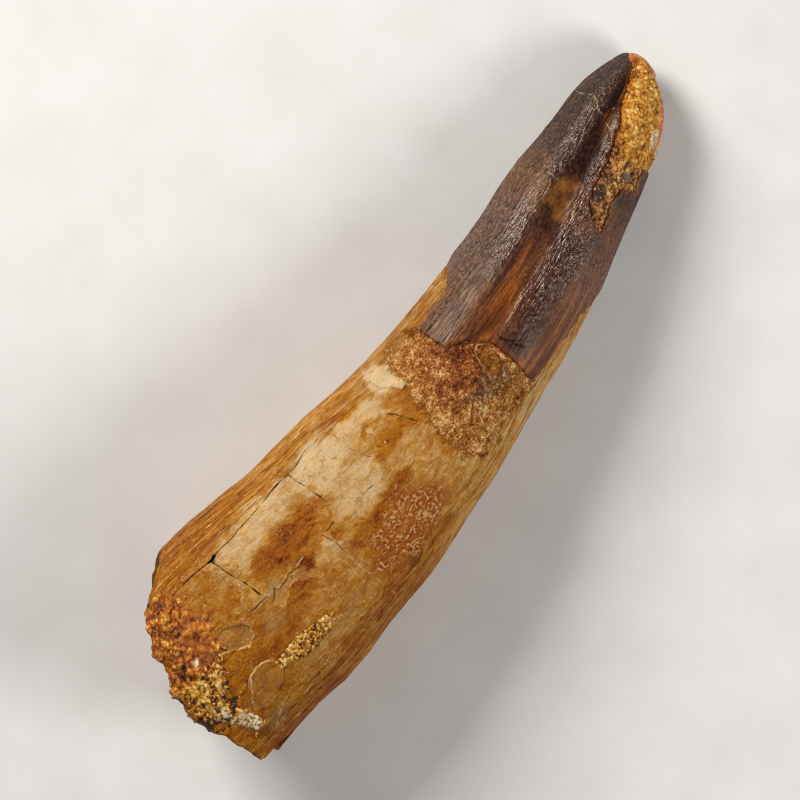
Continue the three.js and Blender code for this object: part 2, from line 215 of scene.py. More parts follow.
# Stains of the root's upper side, painted in this order: oval, stain, strength. Stain 0 is cream, 0.4 tan,
# 0.6 orange, 0.8 rust and 1 dark brown.
STAINS = [
    (-20.0, -1.6, 3.2, 1.7, 0, 0.6, 0.85),
    (-14.8, 4.1, 4.8, 1.15, -8, 0.12, 0.9),
    (-8.8, 2.5, 2.9, 1.8, 0, 0.04, 0.95),
    (-0.9, 2.3, 1.1, 1.4, 0, 0.0, 1.0),
    (-4.3, 1.7, 2.6, 1.4, 0, 0.1, 0.85),
    (-8.4, -0.6, 2.8, 1.7, 0, 0.13, 0.85),
    (-5.0, -2.2, 2.6, 0.9, 0, 0.22, 0.8),
    (-3.9, -4.6, 1.9, 2.0, 0, 0.27, 0.8),
    (-13.3, -1.5, 1.3, 0.9, 0, 0.18, 0.8),
    (-13.7, -3.3, 0.9, 1.4, 0, 0.3, 0.7),
    (-17.5, 3.0, 1.1, 1.0, 0, 0.22, 0.7),
    (-21.5, 4.2, 1.7, 1.5, 0, 0.46, 0.8),
    (-14.4, 1.2, 3.1, 1.15, 0, 0.7, 0.95),
    (-17.0, 2.1, 1.1, 0.8, 0, 0.6, 0.8),
    (-9.3, -5.4, 4.0, 2.3, 0, 0.7, 0.95),
    (-9.3, -3.3, 3.9, 0.75, 0, 0.72, 0.85),
    (-4.3, -0.8, 1.8, 0.6, 0, 0.62, 0.85),
    (-0.9, -1.2, 1.0, 1.5, 20, 0.62, 0.85),
    (-1.7, -4.2, 0.7, 1.3, 0, 0.5, 0.7),
    (-3.6, 2.9, 2.0, 0.25, -5, 0.48, 0.7),
    (-4.5, 1.0, 1.5, 0.28, 0, 0.52, 0.7),
    (-12.2, -1.4, 0.6, 0.5, 0, 0.62, 0.85),
    (-10.5, 2.2, 0.6, 0.4, 0, 0.4, 0.7),
    (-15.9, -0.7, 1.9, 0.6, 0, 0.86, 0.85),
    (-8.3, -4.1, 1.4, 0.6, 0, 0.3, 0.6),
]
# Light and dark places in the crust on the root's end: oval, how much lighter. Some of the dark places are
# painted shade between the nodules.
END_SPOTS = [
    (-27.5, 0.7, 0.8, 0.65, 0, 0.34),
    (-28.4, -0.8, 0.95, 0.55, -30, 0.2),
    (-26.15, 1.2, 0.5, 0.35, 0, 0.12),
    (-26.6, 1.05, 0.18, 0.4, 0, -0.5),
    (-27.2, 2.5, 0.6, 0.28, 20, -0.4),
    (-28.7, 2.3, 0.8, 0.6, 30, -0.15),
    (-26.7, -1.5, 0.65, 0.6, 0, -0.34),
    (-27.6, -0.35, 0.7, 0.2, -20, -0.35),
    (-25.4, 4.2, 0.35, 0.3, 0, -0.35),
    (-24.5, 3.1, 0.3, 0.3, 0, -0.25),
    (-29.2, -1.9, 0.6, 1.9, 0, -0.7),
    (-28.95, -2.7, 0.4, 0.3, 0, -0.6),
]
# Places with a greyish veil of dust: oval, strength.
VEILS = [
    (-18.4, 0.55, 1.1, 0.5, 0, 0.9),
    (-20.4, -1.0, 1.3, 0.6, 0, 0.55),
    (-23.0, 0.7, 1.2, 0.9, -20, 0.4),
    (-25.2, -3.2, 1.6, 1.0, 0, 0.35),
    (-25.8, -5.2, 1.5, 0.7, 0, 0.5),
    (-17.5, -5.1, 3.6, 0.45, -3, 0.5),
    (-12.6, 3.1, 1.0, 0.6, 0, 0.35),
    (-12.9, -2.6, 0.7, 1.6, 0, 0.35),
    (-5.5, -6.0, 1.6, 1.1, 0, 0.15),
    (3.1, -4.9, 2.4, 1.1, -15, 0.75),
]


# ---------------------------------------------------------------- small numeric tools
HASH_FACTORS = np.array([73856093, 19349663, 83492791])
HASH_SEED = 2654435761
HASH_MIX = 0x45D9F3B
HASH_BITS = 0xFFFFFFFF
HASH_OFFSET = 100000  # keeps the cells' numbers above 0


def smooth(low, high, value):
    """0 at low and before it, 1 at high and past it, and a soft S between them."""
    t = np.clip((value - low) / (high - low), 0, 1)
    return t * t * (3 - 2 * t)


def blend(a, b, share):
    return a + (b - a) * share


def bump_at(value, middle, half_width):
    """1 at the middle, falling softly to both sides."""
    return np.exp(-(((value - middle) / half_width) ** 2))


def lattice(cell, seed):
    """A repeatable number from 0 to 1 for each cell of a 3-D grid."""
    spread = (cell.astype(np.int64) + HASH_OFFSET) * HASH_FACTORS
    n = np.bitwise_xor.reduce(spread, axis=-1) ^ (seed * HASH_SEED)
    for _ in range(2):
        n &= HASH_BITS
        n = (n ^ (n >> 16)) * HASH_MIX
    n &= HASH_BITS
    return (n ^ (n >> 16)) / 2**32


def noise(p, seed):
    """Smooth noise from -1 to 1."""
    base = np.floor(p)
    f = p - base
    f = f * f * f * (f * (f * 6 - 15) + 10)
    total = np.zeros(len(p))
    for corner in np.ndindex(2, 2, 2):
        share = np.prod(np.where(np.array(corner) == 1, f, 1 - f), axis=1)
        total += share * lattice(base + corner, seed)
    return 2 * total - 1


def noise_pair(p, seed):
    return np.stack([noise(p, seed), noise(p, seed + 1)], axis=1)


def fractal(p, octaves, seed):
    """Smooth noise with ever finer and weaker noise on it."""
    total = sum(noise(p * 2.0**k, seed + k) * 0.55**k for k in range(octaves))
    return total / sum(0.55**k for k in range(octaves))


def grains(point, size, share, seed):
    """Rounded grains of about this size on a share of the surface: how high each place is, and its grain's
    number."""
    p = point / size
    base = np.floor(p)
    nearest = np.full(len(p), FAR)
    number = np.zeros(len(p))
    for step in np.ndindex(3, 3, 3):
        cell = base + np.array(step) - 1
        middle = cell + np.stack([lattice(cell, seed + k) for k in range(3)], axis=1)
        away = np.linalg.norm(p - middle, axis=1)
        number = np.where(away < nearest, lattice(cell, seed + 3), number)
        nearest = np.minimum(nearest, away)
    radius = 0.42 + 0.22 * np.modf(number * 7.3)[0]
    dome = np.sqrt(np.clip(1 - (nearest / radius) ** 2, 0, 1))
    return dome * (number < share), number


def line_distance(xy, points):
    """Distance from each place to a line of points."""
    points = np.array(points, float)
    best = np.full(len(xy), np.inf)
    for a, b in zip(points[:-1], points[1:]):
        side = b - a
        t = np.clip(((xy - a) @ side) / (side @ side), 0, 1)
        best = np.minimum(best, np.linalg.norm(xy - a - t[:, None] * side, axis=1))
    return best


def inside_distance(xy, outline):
    """Distance to an outline, above 0 inside it and below 0 outside."""
    closed = list(outline) + [outline[0]]
    inside = np.zeros(len(xy), bool)
    for (ax, ay), (bx, by) in zip(closed[:-1], closed[1:]):
        if ay != by:
            crosses = (ay > xy[:, 1]) != (by > xy[:, 1])
            inside ^= crosses & (xy[:, 0] < (bx - ax) * (xy[:, 1] - ay) / (by - ay) + ax)
    distance = line_distance(xy, closed)
    return np.where(inside, distance, -distance)


def oval(xy, x, y, half_length, half_width, turn):
    """How far out in an oval: 0 in its middle, 1 on its edge."""
    c, s = math.cos(math.radians(turn)), math.sin(math.radians(turn))
    dx, dy = xy[:, 0] - x, xy[:, 1] - y
    return np.hypot((dx * c + dy * s) / half_length, (dy * c - dx * s) / half_width)


def in_oval(xy, place, inner, outer):
    """1 in an oval drawn `inner` times as large, 0 outside it drawn `outer` times as large."""
    return 1 - smooth(inner, outer, oval(xy, *place))


# ---------------------------------------------------------------- the form
def curve_at(column, x):
    """The smooth curve through one column of SECTIONS."""
    xs, values = SECTIONS[:, 0], SECTIONS[:, column]
    last = len(xs) - 1
    before, after = np.maximum(np.arange(last + 1) - 1, 0), np.minimum(np.arange(last + 1) + 1, last)
    slopes = (values[after] - values[before]) / (xs[after] - xs[before])
    i = np.clip(np.searchsorted(xs, x) - 1, 0, last - 1)
    span = xs[i + 1] - xs[i]
    t = np.clip((x - xs[i]) / span, 0, 1)
    lead = t * (1 - t) ** 2 * slopes[i] - t * t * (1 - t) * slopes[i + 1]
    return blend(values[i], values[i + 1], t * t * (3 - 2 * t)) + lead * span


def ridge_height(ridges, x, angle):
    height = 0
    for line, half_width, top, turn in ridges:
        apart = np.abs((angle - line - turn * smooth(*RIDGES_TURN, x) + 540) % 360 - 180)
        height = height + top * np.exp(-((apart / half_width) ** 2))
    return height


def round_shares(x, angle):
    """Share of the half width and of the half depth that a cross-section's edge reaches at an angle."""
    power = blend(ROOT_POWER, CROWN_POWER, smooth(*SECTION_CHANGES, x))
    cos, sin = np.cos(np.radians(angle)), np.sin(np.radians(angle))
    return cos, np.sign(sin) * np.abs(sin) ** power


def centre_z(x):
    arch = ARCH_HEIGHT * np.cos(x * math.pi / ARCH_SPAN) ** 2
    return curve_at(3, x) + ENAMEL * smooth(*ENAMEL_GROWS, x) + arch - WORN_FLAT


def side_point(x, angle):
    wide, deep = curve_at(2, x), curve_at(3, x)
    nose = np.sqrt(1 - np.clip((x - NOSE_X) / (TIP_X - NOSE_X), 0, 1) ** 2)
    across, up = round_shares(x, angle)
    root, crown = smooth(*ROOT_GROWS, x), smooth(*CROWN_GROWS, x)
    lumps = ROOT_LUMPS * root * noise(np.stack([x / 5, 1.4 * across, 1.4 * up], axis=1), 5)
    push = root * ridge_height(ROOT_RIDGES, x, angle) + crown * ridge_height(CROWN_RIDGES, x, angle) + lumps
    push += np.interp(x, FULLER[:, 0], FULLER[:, 1]) * smooth(0.2, -0.7, across)
    length = np.hypot(across / wide, up / deep)
    y = curve_at(1, x) + nose * (wide * across + push * across / wide / length)
    z = centre_z(x) + nose * (deep * up + push * up / deep / length)
    return np.stack([x, y, z], axis=1)


def rim_x(angle):
    around = np.radians(angle)
    ragged = noise(np.stack([9 * np.cos(around), 9 * np.sin(around), 0 * angle], axis=1), 11)
    return np.interp(angle % 360, RIM[:, 0], RIM[:, 1]) + 0.2 * ragged


def surface(s, angle):
    """The plain form. s runs from -1 at the tip over 0 at NOSE_X to 1 at the torn rim and 2 in the middle of
    the broken end."""
    rim = rim_x(angle)
    side = blend(NOSE_X, rim, np.clip(s, 0, 1))
    nose = NOSE_X + (TIP_X - NOSE_X) * np.sin(np.clip(-s, 0, 1) * math.pi / 2)
    point = side_point(np.where(s < 0, nose, side), angle)
    share = 2 - np.clip(s, 1, 2)
    middle = np.array([CORE_X, float(curve_at(1, CORE_X)), float(curve_at(3, CORE_X))])
    end = middle + (point - middle) * share[:, None]
    end[:, 0] = blend(CORE_X, rim, smooth(0.3, 0.85, share))
    return np.where((s > 1)[:, None], end, point)


def surface_normal(s, angle):
    step, turn = 0.002, 0.5
    along = surface(np.clip(s + step, -1, 2), angle) - surface(np.clip(s - step, -1, 2), angle)
    around = surface(s, angle + turn) - surface(s, angle - turn)
    normal = np.cross(along, around)
    length = np.linalg.norm(normal, axis=1)
    poles = length < 1e-9
    normal[poles] = np.where(s[poles, None] < 0, [[1.0, 0, 0]], [[-1.0, 0, 0]])
    return normal / np.where(poles, 1, length)[:, None]


def flow_coordinates(point, s, angle):
    """Coordinates that follow the tooth's grain, through its taper and its curve."""
    across, up = round_shares(point[:, 0], angle)
    side = np.stack([point[:, 0], FLOW_RADIUS * across, FLOW_RADIUS * up], axis=1)
    return np.where((s > 1)[:, None], point - [0, 0, FLOW_RADIUS], side)


# ---------------------------------------------------------------- what is where on the tooth
def tip_scar_distance(point):
    return np.minimum(inside_distance(point[:, :2], TIP_SCAR_OUTLINE), point[:, 2] - TIP_CRUST_LOWEST)


def enamel_distance(point):
    ragged = 0.1 * noise(point * 1.7, 21) + 0.06 * noise(point * 5, 22)
    outline = inside_distance(point[:, :2], ENAMEL_OUTLINE)
    return np.minimum(outline, -tip_scar_distance(point)) + ragged


def end_crust_distance(point):
    return np.minimum(inside_distance(point[:, :2], END_CRUST_OUTLINE), point[:, 2] - END_CRUST_LOWEST)


def pit_distance(point, ragged=0.0):
    half_width = PIT[3]
    inside = (1 - oval(point[:, :2], *PIT)) * half_width
    return np.where(point[:, 2] > PIT_LOWEST, inside + ragged, -FAR)


class Skin:
    """Places on the tooth's plain form, with the shares that both the relief and the paint read."""

    def __init__(self, s, angle):
        self.s = s
        self.angle = angle
        self.point = surface(s, angle)
        self.x = self.point[:, 0]
        self.xy = self.point[:, :2]
        self.flow = flow_coordinates(self.point, s, angle)
        self.top = np.sin(np.radians(angle)) > 0
        self.across = np.cos(np.radians(angle))
        self.side = 1 - smooth(*END_STARTS, s)
        self.enamel = np.where(self.side > 0, enamel_distance(self.point), -FAR)
        self.crown = smooth(-0.03, 0.06, self.enamel)
        # Small shifts in x and y, which make outlines waver, or tear them in finer steps.
        self.warp = noise_pair(self.point * 0.9, 31) + 0.5 * noise_pair(self.point * 2.6, 33)
        self.tear = 0.13 * self.warp + 0.16 * noise_pair(self.point * 3.1, 35)
        self.wavy = self.xy + 0.35 * self.warp
        self.in_band = inside_distance(self.xy + 0.6 * self.warp, BAND_OUTLINE)
        self.band = smooth(-0.8, 0.55, self.in_band) * (1 - self.crown) * self.side
        flanks = smooth(0.6, 0.74, self.across) + smooth(0.64, 0.82, -self.across)
        self.flank = flanks + 0.35 * (1 - self.top)
        self.divide_crown()

    def noise(self, scale, seed):
        return noise(self.point * scale, seed)

    def grain(self, along, across, seed):
        """Noise with features of these lengths along and across the tooth's grain."""
        return noise(self.flow / [along, across, across], seed)

    def divide_crown(self):
        """Shares of the crown's flat facet, of its trough and of the ridges on both sides of the trough."""
        turned = self.angle + 6 * smooth(*RIDGES_TURN, self.x) * smooth(60, 100, self.angle)
        turned += 2.5 * self.noise(1.2, 91)
        facet_edge = smooth(55, 47, self.angle + 1.5 * self.noise(2, 92))
        self.facet = facet_edge * smooth(-25, -5, self.angle)
        self.trough = smooth(69, 76, turned) * smooth(102, 92, turned)
        self.ridge1 = bump_at(self.angle, 62, 9 + 4 * smooth(16, 22, self.x))
        self.ridge2 = bump_at(turned, 118, 22)


# ---------------------------------------------------------------- relief
# Each function gives a height over the plain form, in millimetres, and the fields that the paint reads.
def root_relief(skin):
    """Grain, which is strongest on the flanks, and small lumps."""
    root = (1 - skin.crown) * skin.side * (1 - skin.band)
    grain = skin.grain(3.5, 0.3, 41) + 0.6 * skin.grain(1.6, 0.15, 42)
    lumps = 0.05 * fractal(skin.point * 0.8, 4, 43) + 0.012 * skin.noise(5, 44)
    return root * ((0.012 + 0.055 * skin.flank) * grain + lumps), {"streak": np.clip(skin.flank, 0, 1)}


def plate_relief(skin):
    """Plates, with the distance to their nearest edge and whether that edge faces the light."""
    height, edge, lit = 0, FAR, 0
    for depth, _, _, ragged, outline in PLATES:
        torn = skin.xy + ragged * skin.tear
        inside = inside_distance(torn, outline)
        climb = inside_distance(torn + [0, 0.05], outline) - inside
        height = height - skin.top * depth * smooth(-0.02, 0.05, inside)
        nearer = skin.top & (np.abs(inside) < edge)
        edge = np.where(nearer, np.abs(inside), edge)
        lit = np.where(nearer, smooth(-0.03, 0.03, climb * np.sign(depth)), lit)
    return height, {"plate_edge": edge, "plate_lit": lit}


def crack_relief(skin):
    """Cracks that open and close along their length, and the distance to them and to the filled ones."""
    opened = np.clip(0.7 + 0.55 * skin.noise(0.9, 73) + 0.35 * skin.noise(2.7, 74), -0.4, 1.4)
    height, crack = 0, FAR
    for half_width, depth, line in CRACKS:
        away = np.where(skin.top & (skin.s < 1), line_distance(skin.xy + 0.06 * skin.warp, line), FAR)
        reach = half_width * opened
        height = height - depth * (1 - smooth(0, 1.3 * half_width, away + half_width - reach))
        crack = np.minimum(crack, away - reach)
    wavy = skin.xy + 0.05 * skin.warp
    filled = np.min([line_distance(wavy, line) - half_width for half_width, line in FILLED_CRACKS], axis=0)
    return height, {"crack": crack, "filled": np.where(skin.top, filled, FAR)}


def pit_relief(skin):
    return -PIT_DEPTH * smooth(-0.1, 0.2, pit_distance(skin.point, 0.1 * skin.warp[:, 0])), {}


def band_relief(skin):
    """Crumbs on a lumpy ground, in the band below the crown."""
    height = 0.15 * fractal(skin.point * 1.3, 4, 51) + 0.04 * skin.noise(5, 52) - 0.08
    crumb = 0
    for size, share, tall in BAND_CRUMBS:
        warped = skin.point + 0.2 * size * noise(skin.point * 2.2 / size, 53)[:, None]
        dome, _ = grains(warped, size, share, 54)
        height += tall * dome
        crumb = np.maximum(crumb, dome)
    plate = smooth(-0.05, 0.15, inside_distance(skin.xy + skin.tear, BAND_PLATE))
    return skin.band * height, {"crumb": crumb, "band": skin.band * (1 - 0.5 * plate)}


def crown_relief(skin):
    """The enamel's step, which is softer at the outline of the tooth, with its folds and wrinkles."""
    from_root = smooth(7, 11.5, skin.x + 1.5 * skin.warp[:, 0])
    wrinkled = blend(0.4, 1, from_root) * (skin.ridge1 + skin.ridge2) + 0.5 * (1 - skin.top)
    wrinkled = np.clip(wrinkled, 0, 1)
    fold = 1 - 2 * np.abs(skin.grain(1.6, 0.5, 61))
    fold -= np.abs(skin.grain(0.9, 0.22, 62))
    broad = skin.grain(9, 1.1, 63)
    outermost = smooth(0.75, 0.95, np.abs(skin.across)) * smooth(20, 16, skin.x)
    very_tip = smooth(28.4, 29.4, skin.x)
    thick = blend(skin.crown, smooth(0, 1.5, skin.enamel), outermost)
    thick = blend(thick, smooth(-0.1, 0.3, skin.enamel), very_tip)
    height = (ENAMEL + 0.16 * very_tip) * thick - 0.06 * skin.crown * skin.trough
    height += skin.crown * (0.03 * wrinkled * fold + 0.03 * broad * (1 - skin.facet) + 0.005 * fold)
    return height, {"enamel": skin.enamel, "facet": skin.facet, "wrinkled": wrinkled * skin.crown}


def end_relief(skin):
    return (1 - skin.side) * (0.22 * fractal(skin.point * 1.4, 4, 71) + 0.08 * skin.noise(4, 72)), {}


RELIEFS = [root_relief, plate_relief, pit_relief, band_relief, crown_relief, end_relief, crack_relief]


# ---------------------------------------------------------------- painted fields
def root_fields(skin):
    """The root's stain, ochre, veil of dust and mottled patch."""
    x, y = skin.x, skin.xy[:, 1]
    low_edge = smooth(-5.2, -7.3, y)
    middle = smooth(-12, -8, x)
    stain = 0.42 + 0.2 * smooth(-20, -25, x) + low_edge * (0.16 - 0.2 * middle - 0.14 * smooth(-2, 2, x))
    for *place, value, strength in STAINS:
        stain = blend(stain, value, strength * in_oval(skin.wavy, place, 0.62, 1.3))
    halo = smooth(-0.1, 0.3, skin.noise(1.1, 95) + 0.5 * skin.noise(3.3, 96))
    halo *= smooth(-1.7, -0.2, skin.in_band) * smooth(-5.8, -4.6, y) * smooth(2.0, 0.8, y)
    stain = blend(stain, 0.62, 0.6 * halo)
    veil = np.max([strength * in_oval(skin.wavy, place, 0.4, 1.3) for *place, strength in VEILS], axis=0)
    for _, plate_stain, plate_veil, ragged, outline in PLATES:
        share = smooth(-0.04, 0.08, inside_distance(skin.xy + ragged * skin.tear, outline))
        stain = blend(stain, plate_stain, 0.7 * share)
        veil = blend(veil, plate_veil, 0.9 * share)
    stain = np.where(skin.top, stain, 0.5 + 0.3 * skin.noise(0.33, 81))

    past_edge = skin.wavy[:, 1] - np.interp(x, FLANK_EDGE[:, 0], FLANK_EDGE[:, 1])
    upper_flank = np.where(skin.across > 0, smooth(-0.1, 0.35, past_edge), 0) * smooth(12, 6, x)
    pale = smooth(-1, 3.5, x)
    stain = blend(stain, 0.59 - 0.19 * smooth(-17, -12, x) - 0.16 * pale, upper_flank)
    ochre = np.max([
        upper_flank * (1 - 0.7 * pale),
        0.75 * smooth(-21.5, -25, x),
        0.4 * (1 - skin.top),
        0.35 * low_edge * middle,
        skin.band * (1 - in_oval(skin.wavy, REDDISH_MIDDLE_OF_BAND, 0.7, 1.4)),
        *[0.8 * in_oval(skin.wavy, place, 0.6, 1.3) for place in ORANGE_STREAKS],
    ], axis=0)
    mottle = in_oval(skin.xy + 0.8 * skin.warp, MOTTLED_PATCH, 0.35, 1.4)
    return {"stain": stain, "ochre": ochre, "veil": skin.top * veil, "mottle": skin.top * mottle}


def crown_fields(skin):
    """The enamel's tone, where it is rusty, ochre, dusty or chalky, and where it has little gloss."""
    x, angle = skin.x, skin.angle
    # The facet is painted lighter and the trough darker: partly the enamel's own colour, partly painted sheen
    # on the facet and painted shade in the trough.
    tone = 0.4 + 0.2 * skin.facet * (1 - 1.7 * smooth(13, 26, x)) - 0.25 * skin.trough * smooth(12, 19, x)
    tone += 0.34 * smooth(118, 142, angle) * smooth(20, 11, x) - 0.05 * skin.ridge2
    chips = smooth(24, 16, angle) * smooth(-2, 6, angle) * smooth(0.1, 0.3, skin.noise([1.6, 3, 3], 94))
    dusty = np.max([
        0.2 * smooth(24, 18, x) * bump_at(angle, 30, 18),
        0.9 * smooth(13, 8, x) * bump_at(angle, 56, 14),
        0.9 * smooth(14, 17, x) * chips,
    ], axis=0)
    rusty = bump_at(angle, 85, 15) * smooth(18, 8.5, x + 2 * skin.warp[:, 1])
    rusty += 0.6 * smooth(blend(0.7, 0.3, smooth(12, 18, x)), 0.05, skin.enamel)
    rusty += 0.85 * smooth(112, 132, angle) * smooth(17, 9, x)
    rusty_patch = skin.top * 0.38 * in_oval(skin.wavy, RUSTY_SPOT, 0.3, 1.3)
    loose = x + 1.2 * skin.warp[:, 0] + 0.5 * skin.noise(2, 93)
    stripe = smooth(15.4, 17.0, loose) * smooth(20.2, 18.2, loose)
    dull = np.max([
        skin.trough * smooth(9, 15, x) + 0.45 * skin.facet + 0.95 * smooth(126, 142, angle),
        0.8 * smooth(9.5, 6.5, x) * (angle > 90),
        0.75 * smooth(14, 10, x) * smooth(108, 120, angle),
    ], axis=0)
    return {
        "tone": np.clip(tone, 0, 1),
        "rusty": np.clip(np.maximum(rusty, rusty_patch), 0, 1),
        "stripe": stripe * np.where(skin.top, 0.35 + 0.6 * skin.trough + 0.2 * skin.ridge1, 0.25),
        "chalk": skin.top * 0.7 * in_oval(skin.wavy, CHALK_MARK, 0.2, 1.3),
        "dusty": skin.top * dusty,
        "dull": np.clip(dull * skin.crown, 0, 1),
    }


# ---------------------------------------------------------------- meshes
EDGE_REACH = 0.3  # the sheet is finer this near an edge
CRACK_REACH = 0.14  # and finer again this near a crack


def sheet(rows, columns, passes=()):
    """A flat grid over s and angle / 360. Each pass splits the faces that its test picks in four."""
    bm = bmesh.new()
    grid = [[bm.verts.new((s, a / 360, 0)) for a in columns] for s in rows]
    for above, below in zip(grid[:-1], grid[1:]):
        for j in range(len(columns) - 1):
            bm.faces.new((above[j], below[j], below[j + 1], above[j + 1]))
    for test in passes:
        centres = np.array([face.calc_center_median() for face in bm.faces])
        picked = test(centres[:, 0], centres[:, 1] * 360)
        faces = [face for face, chosen in zip(bm.faces, picked) if chosen]
        edges = list(dict.fromkeys(edge for face in faces for edge in face.edges))
        bmesh.ops.subdivide_edges(bm, edges=edges, cuts=1, use_grid_fill=True)
    mesh = bpy.data.meshes.new("sheet")
    bm.to_mesh(mesh)
    bm.free()
    return mesh


def sheet_coordinates(mesh):
    co = np.zeros(len(mesh.vertices) * 3)
    mesh.vertices.foreach_get("co", co)
    co = co.reshape(-1, 3)
    return co[:, 0], co[:, 1] * 360


def store_field(mesh, name, values):
    """Stores one number, or one vector, for each vertex."""
    kind, key = ("FLOAT", "value") if values.ndim == 1 else ("FLOAT_VECTOR", "vector")
    attribute = mesh.attributes.new(name, kind, "POINT")
    attribute.data.foreach_set(key, values.astype(np.float32).ravel())


def new_object(name, data):
    made = bpy.data.objects.new(name, data)
    bpy.context.scene.collection.objects.link(made)
    return made


def finish_mesh(name, mesh, point, fields, keep=None):
    """Moves the sheet's vertices to their places, stores the fields, drops faces that aren't kept and joins
    what meets."""
    mesh.vertices.foreach_set("co", (point * MM).ravel())
    for field, values in fields.items():
        store_field(mesh, field, values)
    bm = bmesh.new()
    bm.from_mesh(mesh)
    if keep is not None:
        dropped = [face for face in bm.faces if not all(keep[vert.index] for vert in face.verts)]
        bmesh.ops.delete(bm, geom=dropped, context="FACES")
    bmesh.ops.remove_doubles(bm, verts=bm.verts, dist=1e-7)
    bm.to_mesh(mesh)
    bm.free()
    mesh.shade_smooth()
    mesh.name = name
    return new_object(name, mesh)


def spaced(*stretches):
    """Places from stretches of (first, last, steps)."""
    places = [np.linspace(first, last, steps, endpoint=False) for first, last, steps in stretches]
    return np.append(np.concatenate(places), stretches[-1][1])


def at_x(x):
    """s at a given x, where the rim is at its usual place."""
    return (NOSE_X - x) / (NOSE_X - USUAL_RIM_X)


def on_top(s, angle):
    return (np.sin(np.radians(angle)) > 0.02) & (s < 1)


def crack_distance(xy):
    return np.min([line_distance(xy, line) for *_, line in CRACKS + FILLED_CRACKS], axis=0)


def near_edges(s, angle):
    """Whether a place is near a crack, a plate's edge or the enamel's edge, or in the rough band."""
    point = surface(s, angle)
    xy = point[:, :2]
    edges = [np.abs(inside_distance(xy, outline)) for *_, outline in PLATES]
    away = np.min([np.abs(enamel_distance(point)), crack_distance(xy), *edges], axis=0)
    in_band = inside_distance(xy, BAND_OUTLINE) > -0.2
    return on_top(s, angle) & ((away < EDGE_REACH) | in_band)


def near_cracks(s, angle):
    return on_top(s, angle) & (crack_distance(surface(s, angle)[:, :2]) < CRACK_REACH)


def make_tooth():
    rows = spaced((-1, 0, 34), (0, at_x(7), 92), (at_x(7), at_x(-1), 44), (at_x(-1), 1, 150), (1, 2, 26))
    columns = spaced((-90, 0, 28), (0, 180, 126), (180, 270, 28))
    mesh = sheet(rows, columns, [near_edges, near_cracks])
    skin = Skin(*sheet_coordinates(mesh))
    fields = {"flow": skin.flow} | root_fields(skin) | crown_fields(skin)
    height = 0
    for relief in RELIEFS:
        raised, relief_fields = relief(skin)
        height = height + raised
        fields |= relief_fields
    placed = skin.point + height[:, None] * surface_normal(skin.s, skin.angle)
    placed[:, 2] = np.maximum(placed[:, 2], 0)
    return finish_mesh("tooth_surface", mesh, placed, fields)


def crust_piece(name, rows, columns, inside, fields_at, layers, seed, thickness, edge=0.35, sunk=0.0,
                ragged=0.09):
    """Sand stuck on the tooth where `inside` is above 0: lumps of cement with layers of grains, each layer
    as (grain size, share, height). It thins out over `edge` and goes under the tooth's surface, and it lies
    lower by `sunk` on the broken end."""
    mesh = sheet(rows, columns)
    s, angle = sheet_coordinates(mesh)
    point = surface(s, angle)
    fields = fields_at(point, angle)
    swollen = fields.pop("swollen", 0)
    distance = inside(point) + ragged * (noise(point * 3, seed) + noise(point * 1.1, seed + 5))
    distance += 0.3 * swollen
    lumps = fractal(point * 0.9, 3, seed + 1)
    fine = fractal(point * 3.5, 3, seed + 2)
    rough = 1 - fields["smooth"]
    height = thickness * (0.75 + (0.9 * lumps + 0.35 * fine) * rough) * smooth(-0.15, edge, distance)
    height += 0.25 * swollen - 0.12 * smooth(0.0, -0.3, distance) - sunk * smooth(0.97, 1.0, s)
    raised, tint = 0, 0.5
    for k, (size, share, tall) in enumerate(layers):
        warped = point + 0.12 * size * noise(point * 2.5 / size, seed + 3)[:, None]
        dome, number = grains(warped, size, share, seed + 10 * k + 4)
        height += smooth(-0.25, 0.05, distance) * rough * tall * dome
        raised = np.maximum(raised, dome)
        tint = np.where(dome > 0.3, blend(tint, np.modf(number * 5.1)[0], 0.8), tint)
    placed = point + height[:, None] * surface_normal(s, angle)
    # The paint darkens the crust by "hollow" and lightens it by "raised": painted shade in the lumps' low
    # places and painted light on the grains.
    fields |= {"raised": raised, "tint": tint, "hollow": lumps + 0.6 * fine}
    return finish_mesh(name, mesh, placed, fields, keep=distance > -0.28)


def tip_fields(point, angle):
    """The tip's crust is golden, with a smooth amber rim on its outer side and at the very tip."""
    x = point[:, 0]
    rim = smooth(154, 160, angle + 3 * noise(point * 1.5, 105)) * smooth(24.6, 25.6, x)
    very_tip = smooth(28.9, 29.5, x + 0.3 * noise(point * 2, 106))
    border = smooth(0.5, 0.1, tip_scar_distance(point)) * smooth(-5.0, -4.0, point[:, 1])
    wavy = point[:, :2] + 0.25 * noise(point * 2.5, 107)[:, None]
    bare = np.max([in_oval(wavy, place, 0.9, 1.1) for place in BARE_IN_TIP_CRUST], axis=0)
    dark = in_oval(wavy, DARK_IN_TIP_CRUST, 0.8, 1.2)
    return {
        "rust": np.clip(0.12 + 0.8 * very_tip + rim + border + 0.3 * smooth(22, 18.5, x), 0, 1),
        "grey": np.clip(0.6 * bare + 0.35 * dark + 0.2 * smooth(24, 21, x), 0, 1),
        "smooth": np.clip(rim + very_tip + 0.6 * bare, 0, 1),
        "light": 0.23 * smooth(21.5, 25.5, x) - 0.13 - 0.1 * border - 0.25 * dark,
        "pitted": 0.25 * (1 - rim),
        "swollen": very_tip,
    }


def make_tip_sandstone():
    rows = spaced((-1, 0, 92), (0, at_x(16.7), 108))
    columns = spaced((-40, 75, 60), (75, 225, 150))
    layers = [(0.36, 0.5, 0.13), (0.2, 0.5, 0.06)]
    return crust_piece("tip_sand", rows, columns, tip_scar_distance, tip_fields, layers, 101, 0.22)


